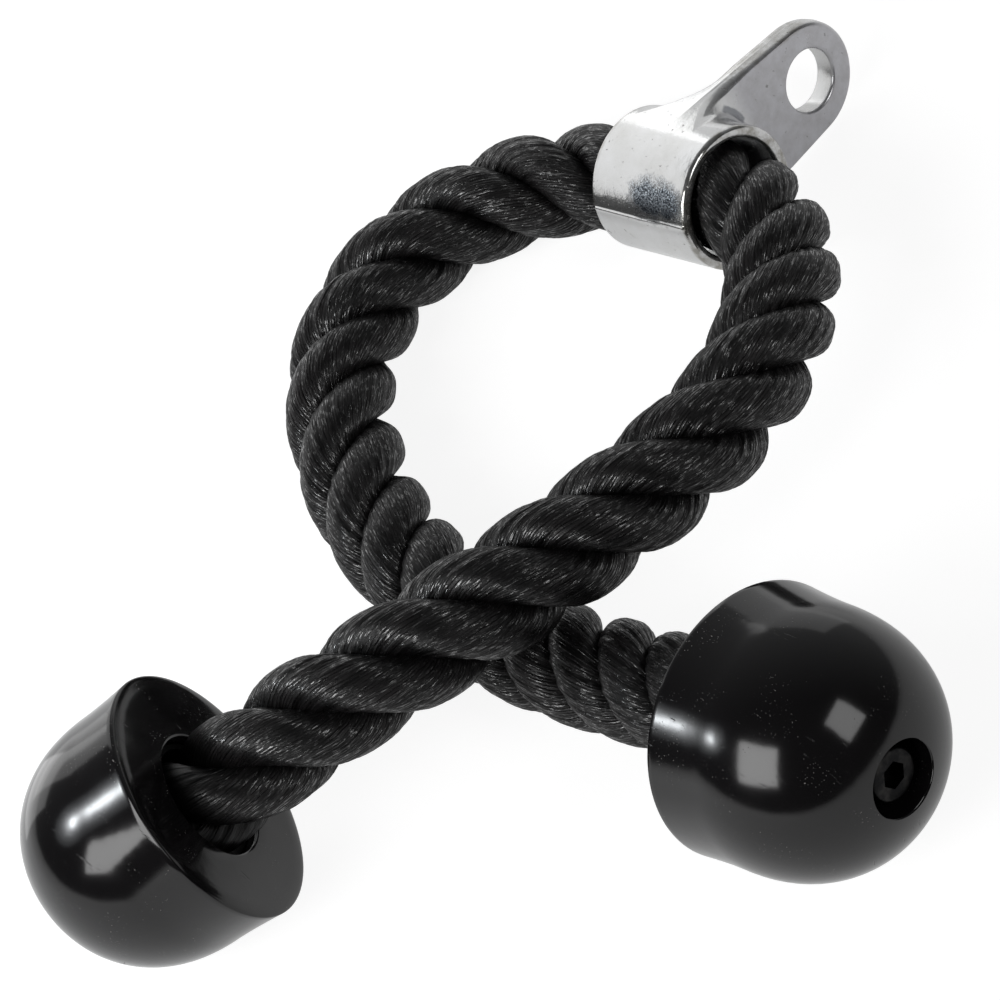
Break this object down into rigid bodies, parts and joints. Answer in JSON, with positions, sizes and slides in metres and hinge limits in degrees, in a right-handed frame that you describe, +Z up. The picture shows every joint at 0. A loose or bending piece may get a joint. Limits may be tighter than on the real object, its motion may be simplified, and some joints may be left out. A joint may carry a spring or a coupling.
{
  "type": "triceps rope attachment",
  "caption": "Laid rope through a swivelling cast metal carrier with an eye for a snap hook, and a domed grip cap screwed on each rope end.",
  "frame": {"origin": "middle of the footprint of the carrier and the caps, on the surface that the part lies on", "axes": "+Z up from that surface; +Y from the left cap towards the carrier's eye; +X towards the right cap; the carrier's barrel lies along X, its right mouth raised 11 degrees"},
  "size_m": [0.2556, 0.317, 0.0695],
  "materials": {
    "bright_zinc_plate": "bright plating over a cast skin",
    "black_rope_fibre": "laid synthetic filament, low sheen",
    "gloss_black_plastic": "moulded, gloss",
    "crimped_steel": "blackened",
    "black_oxide_steel": "black oxide"
  },
  "bodies": {
    "rope_and_caps": {"rope": "black_rope_fibre", "left_end_cap": "gloss_black_plastic", "left_ferrule": "crimped_steel", "left_cap_screw": "black_oxide_steel", "left_flat_washer": "black_oxide_steel", "left_spring_washer": "black_oxide_steel", "right_end_cap": "gloss_black_plastic", "right_ferrule": "crimped_steel", "right_cap_screw": "black_oxide_steel", "right_flat_washer": "black_oxide_steel", "right_spring_washer": "black_oxide_steel"},
    "carrier": {"carrier": "bright_zinc_plate"}
  },
  "joints": [
    {"name": "carrier_swivel", "type": "hinge", "parent": "rope_and_caps", "child": "carrier", "pos_m": [-0.0748, 0.0975, 0.0219], "axis": [0.9814, 0, 0.1922], "continuous": true}
  ]
}
